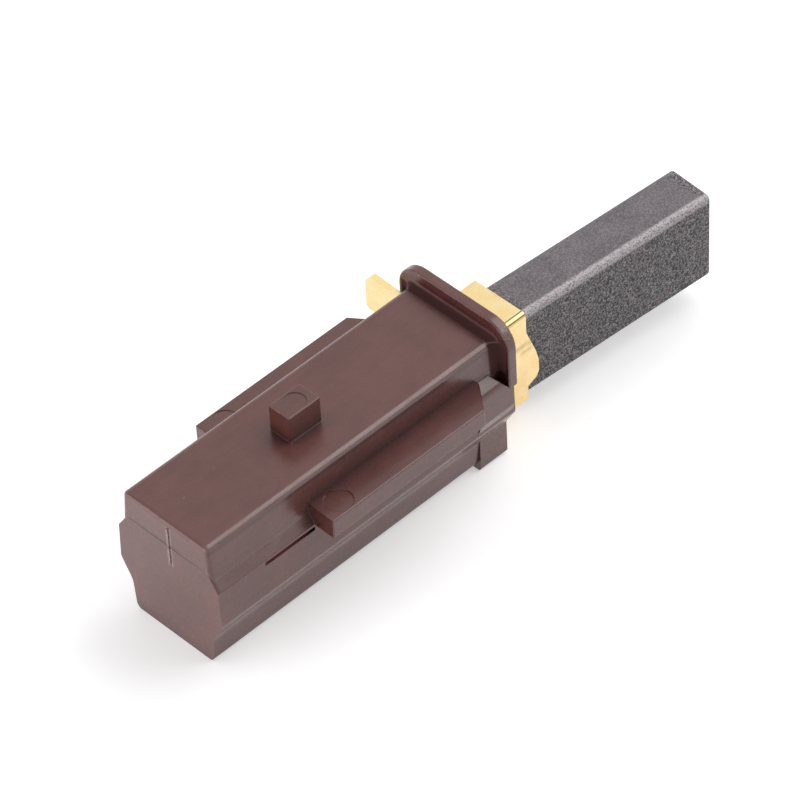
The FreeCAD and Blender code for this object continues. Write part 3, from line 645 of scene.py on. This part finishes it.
def sweep(mesh_parts, line, radius, sides):
    """Round tube along a line of points, with closed ends, added to (vertices, faces)."""
    vertices, faces = mesh_parts
    first = len(vertices)
    across = (line[1] - line[0]).orthogonal().normalized()
    for index, point in enumerate(line):
        ahead = (line[min(index + 1, len(line) - 1)] - line[max(index - 1, 0)]).normalized()
        across = (across - ahead * across.dot(ahead)).normalized()
        beside = ahead.cross(across)
        for side in range(sides):
            angle = 2 * math.pi * side / sides
            vertices.append(point + (across * math.cos(angle) + beside * math.sin(angle)) * radius)
    for ring in range(len(line) - 1):
        for side in range(sides):
            near, far = first + ring * sides, first + (ring + 1) * sides
            following = (side + 1) % sides
            faces.append((near + side, near + following, far + following, far + side))
    faces.append(tuple(first + side for side in reversed(range(sides))))
    faces.append(tuple(first + (len(line) - 1) * sides + side for side in range(sides)))


def soft_piece(name, node, mesh_parts, material):
    """Piece on the housing that stands for a CAD node."""
    vertices, faces = mesh_parts
    mesh = bpy.data.meshes.new(name)
    mesh.from_pydata([HOLDER @ vertex for vertex in vertices], [], faces)
    mesh.shade_smooth()
    mesh.materials.append(material)
    piece = bpy.data.objects.new(name, mesh)
    bpy.context.scene.collection.objects.link(piece)
    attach(piece, "housing")
    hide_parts(node)
    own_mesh(piece)


def coil_line():
    """Middle of the spring's wire: closed end turns and an even pitch between them."""
    side, height = SPRING_AXIS
    rise = SPRING_FRONT - SPRING_REAR - 2 * WIRE_RADIUS
    pitch = (rise - 2 * CLOSED_RISE) / (COIL_TURNS - 2)
    line = []
    for step in range(COIL_TURNS * COIL_STEPS + 1):
        turn = step / COIL_STEPS
        lift = min(turn, 1) * CLOSED_RISE
        lift += min(max(turn - 1, 0), COIL_TURNS - 2) * pitch
        lift += max(turn - COIL_TURNS + 1, 0) * CLOSED_RISE
        angle = 2 * math.pi * turn
        line.append(Vector((SPRING_REAR + WIRE_RADIUS + lift, side + COIL_RADIUS * math.sin(angle),
                            height + COIL_RADIUS * math.cos(angle))))
    return line


def lead_middle(place):
    """Point on the lead's middle line at a place along X."""
    side, height = SPRING_AXIS
    across, upward = bore_line(max(place, LEAD_STRAIGHT))
    if place >= LEAD_STRAIGHT:
        return Vector((place, across, upward))
    waves = LEAD_WAVES + [(LEAD_STRAIGHT, across - side, upward - height)]
    index = 0
    while place > waves[index + 1][0]:
        index += 1
    (start, *first), (end, *last) = waves[index:index + 2]
    local = (place - start) / (end - start)
    ease = local * local * (3 - 2 * local)
    sway, lift = (a + (b - a) * ease for a, b in zip(first, last))
    return Vector((place, side + sway, height + lift))


def bore_line(place):
    """Y and Z of the axis of the carbon's bore at a place along X."""
    point = BORE_POINT + SLIDE_AXIS * ((place - BORE_POINT.x) / SLIDE_AXIS.x)
    return point.y, point.z


def make_spring(material):
    parts = ([], [])
    sweep(parts, coil_line(), WIRE_RADIUS, WIRE_SIDES)
    soft_piece("coil_spring", "spring", parts, material)


def make_lead(material):
    """Braid: strands wound both ways round the lead's middle, each family weaving in and out."""
    parts = ([], [])
    length = LEAD_FRONT - LEAD_REAR
    for way in (1, -1):
        for strand in range(STRANDS):
            line = []
            for step in range(LEAD_STEPS + 1):
                along = length * step / LEAD_STEPS
                angle = 2 * math.pi * (way * along / STRAND_PITCH + strand / STRANDS)
                weave = WEAVE * math.sin(2 * math.pi * STRANDS * along / STRAND_PITCH)
                radius = LEAD_RADIUS - STRAND_RADIUS - WEAVE + way * weave
                line.append(lead_middle(LEAD_REAR + along)
                            + Vector((0, math.cos(angle), math.sin(angle))) * radius)
            sweep(parts, line, STRAND_RADIUS, STRAND_SIDES)
    soft_piece("braided_lead", "lead", parts, material)


# Studio

# Radiances are in units of a white surface's own colour under even light.
FLOOR_REACH = 0.4
FLOOR_COLOUR = (0.84, 0.84, 0.85, 1)
FLOOR_ROUGHNESS = 0.9
FLOOR_SPECULAR = 0.2
# What is added to the floor's own light to make it white where the background shows
FLOOR_TOP_UP = 0.45
FLOOR_MIRRORED = 0.6
LAMPS = {
    "key_softbox": {"place": (0.42, -0.10, 0.56), "size": (0.6, 0.5), "radiance": 2.4},
    "side_softbox": {"place": (0.315, -0.434, 0.434), "size": (0.18, 0.18), "radiance": 3.0},
    "low_fill": {"place": (-0.22, 0.03, 0.011), "size": (0.3, 0.02), "radiance": 9.5},
}
# Level of the sky from straight down, at 0, to straight up, at 1
SKY = [(0.0, 0.5), (0.44, 0.4), (0.48, 0.1), (0.545, 0.1), (0.6, 0.4), (0.78, 0.6), (1.0, 0.75)]
# The sky is dimmer towards the rear and towards the near side: places, then shares of the level
REAR_SHADE = (-0.3, 0.5, 0.45, 1.0)
NEAR_SHADE = (-0.7, 0.2, 0.4, 1.0)
# Broad glows in the sky: direction, inner and outer half angle, radiance
GLOWS = [
    ((0.48, 0.52, 0.70), 10, 42, 0.45),
    ((0.45, -0.86, 0.24), 8, 16, 1.1),
    ((-0.75, 0.54, 0.30), 15, 30, 0.9),
    ((-0.30, 0.54, 0.78), 14, 30, 0.6),
]


def make_lamp(name, place, size, radiance):
    data = bpy.data.lights.new(name, "AREA")
    data.shape = "RECTANGLE"
    data.size, data.size_y = size
    data.energy = radiance * math.pi * size[0] * size[1]
    lamp = bpy.data.objects.new(name, data)
    bpy.context.scene.collection.objects.link(lamp)
    lamp.location = place
    lamp.rotation_euler = (-Vector(place)).to_track_quat("-Z", "Y").to_euler()


def background_rays(tree):
    """1 for the camera's rays, and 1 for those of metal and glass: both see the background."""
    path = make(tree, "ShaderNodeLightPath").outputs
    return path["Is Camera Ray"], greater(tree, path["Is Glossy Ray"], path["Is Transmission Ray"])


def sky_level(tree):
    """Dim at the horizon, brighter overhead and away from the rear, with broad glows."""
    way = make(tree, "ShaderNodeTexCoord").outputs["Generated"]
    parts = separate(tree, way)
    level = ramp(tree, straight_fade(tree, parts["Z"], -1.0, 1.0), SKY)
    level = product(tree, level, fade(tree, parts["X"], *REAR_SHADE))
    level = product(tree, level, fade(tree, parts["Y"], *NEAR_SHADE))
    for direction, inner, outer, radiance in GLOWS:
        towards = vector_math(tree, "DOT_PRODUCT", way, Vector(direction).normalized())
        glow = fade(tree, towards, math.cos(math.radians(outer)), math.cos(math.radians(inner)),
                    0.0, radiance)
        level = calculate(tree, "ADD", level, glow)
    return level


def make_world():
    """White wherever the background shows, and otherwise the sky that lights the object."""
    world = bpy.data.worlds.new("studio")
    bpy.context.scene.world = world
    world.use_nodes = True
    tree = world.node_tree
    white = greater(tree, *background_rays(tree))
    shown = make(tree, "ShaderNodeMix", {0: white, 2: sky_level(tree), 3: 1.0}, data_type="FLOAT")
    wire(tree, tree.nodes["Background"], Color=(1, 1, 1, 1), Strength=shown.outputs[0])


def make_floor():
    mesh = bpy.data.meshes.new("floor")
    side = FLOOR_REACH
    mesh.from_pydata([(-side, -side, 0), (side, -side, 0), (side, side, 0), (-side, side, 0)],
                     [], [(0, 1, 2, 3)])
    floor = bpy.data.objects.new("floor", mesh)
    bpy.context.scene.collection.objects.link(floor)
    material, tree, shader = begin("floor")
    seen, mirrored = background_rays(tree)
    glow = greater(tree, product(tree, seen, FLOOR_TOP_UP), product(tree, mirrored, FLOOR_MIRRORED))
    wire(tree, shader, Base_Color=FLOOR_COLOUR, Roughness=FLOOR_ROUGHNESS,
         Specular_IOR_Level=FLOOR_SPECULAR, Emission_Color=(1, 1, 1, 1), Emission_Strength=glow)
    mesh.materials.append(material)


# Putting it together


def dress(name, material):
    """Gives a CAD node its material."""
    mesh = frame["nodes"][name].data
    mesh.materials.clear()
    mesh.materials.append(material)


make_camera()
make_world()
make_floor()
for lamp_name, lamp in LAMPS.items():
    make_lamp(lamp_name, **lamp)

brass_sheet = brass()
dress("holder", phenolic())
dress("sleeve", brass_sheet)
dress("terminal", brass_sheet)
dress("carbon", carbon())
dress("lead_plug", hidden_metal(*COPPER_POWDER))
make_lead(hidden_metal(*BRAIDED_COPPER))
dress("lead_weld", hidden_metal(*SOLDER))
make_spring(hidden_metal(*SPRING_STEEL))

bpy.context.scene.view_settings.view_transform = "Standard"
